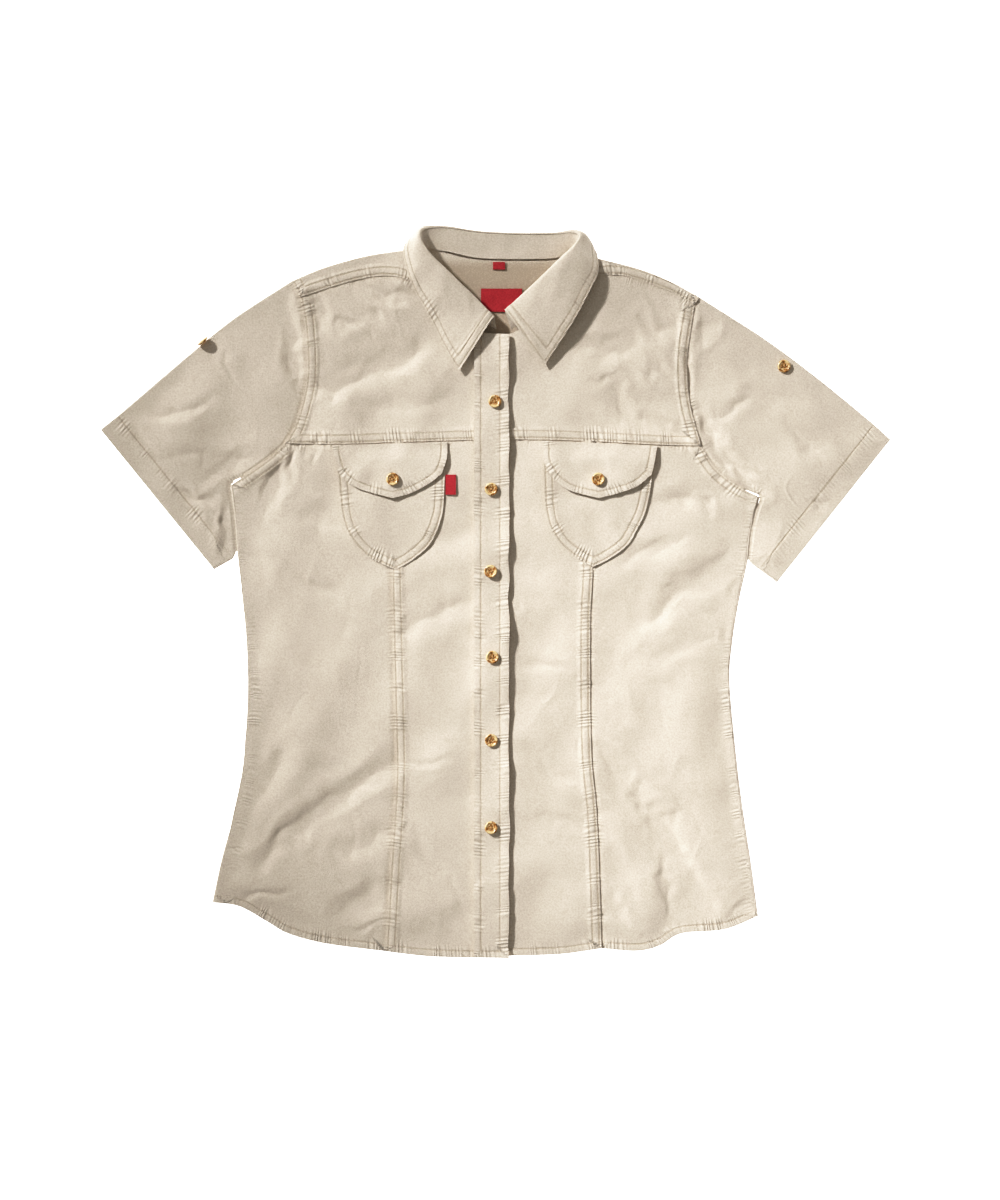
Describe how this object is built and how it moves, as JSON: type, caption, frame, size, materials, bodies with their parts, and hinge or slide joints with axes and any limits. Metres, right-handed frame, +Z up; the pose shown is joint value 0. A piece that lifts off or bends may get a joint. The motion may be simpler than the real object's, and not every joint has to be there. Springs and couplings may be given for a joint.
{
  "type": "safari shirt",
  "caption": "Short-sleeved button-through safari shirt in twill, laid flat front up, with a pointed collar, flapped chest pockets and shaped seams.",
  "frame": {"origin": "on the surface that the shirt lies on, in the middle of its footprint", "axes": "+X to the viewer's right across the shirt, +Y from the hem to the collar, +Z up off the surface"},
  "size_m": [0.7896, 0.7314, 0.0227],
  "materials": {
    "cloth": "washed cotton twill",
    "button": "tortoise-pattern polished resin",
    "label": "woven satin tape"
  },
  "bodies": {
    "root": {"back": "cloth", "back_yoke": "cloth", "front_upper_left": "cloth", "front_upper_right": "cloth", "front_centre_left": "cloth", "front_centre_right": "cloth", "front_side_left": "cloth", "front_side_right": "cloth", "placket": "cloth", "collar_stand": "cloth", "collar_leaf": "cloth", "sleeve_left": "cloth", "sleeve_right": "cloth", "pocket_left": "cloth", "pocket_right": "cloth", "flap_left": "cloth", "flap_right": "cloth", "button_front_1": "button", "button_front_2": "button", "button_front_3": "button", "button_front_4": "button", "button_front_5": "button", "button_front_6": "button", "button_flap_left": "button", "button_flap_right": "button", "button_sleeve_left": "button", "button_sleeve_right": "button", "neck_label": "label", "size_tab": "label", "pocket_tab": "label"}
  },
  "joints": []
}
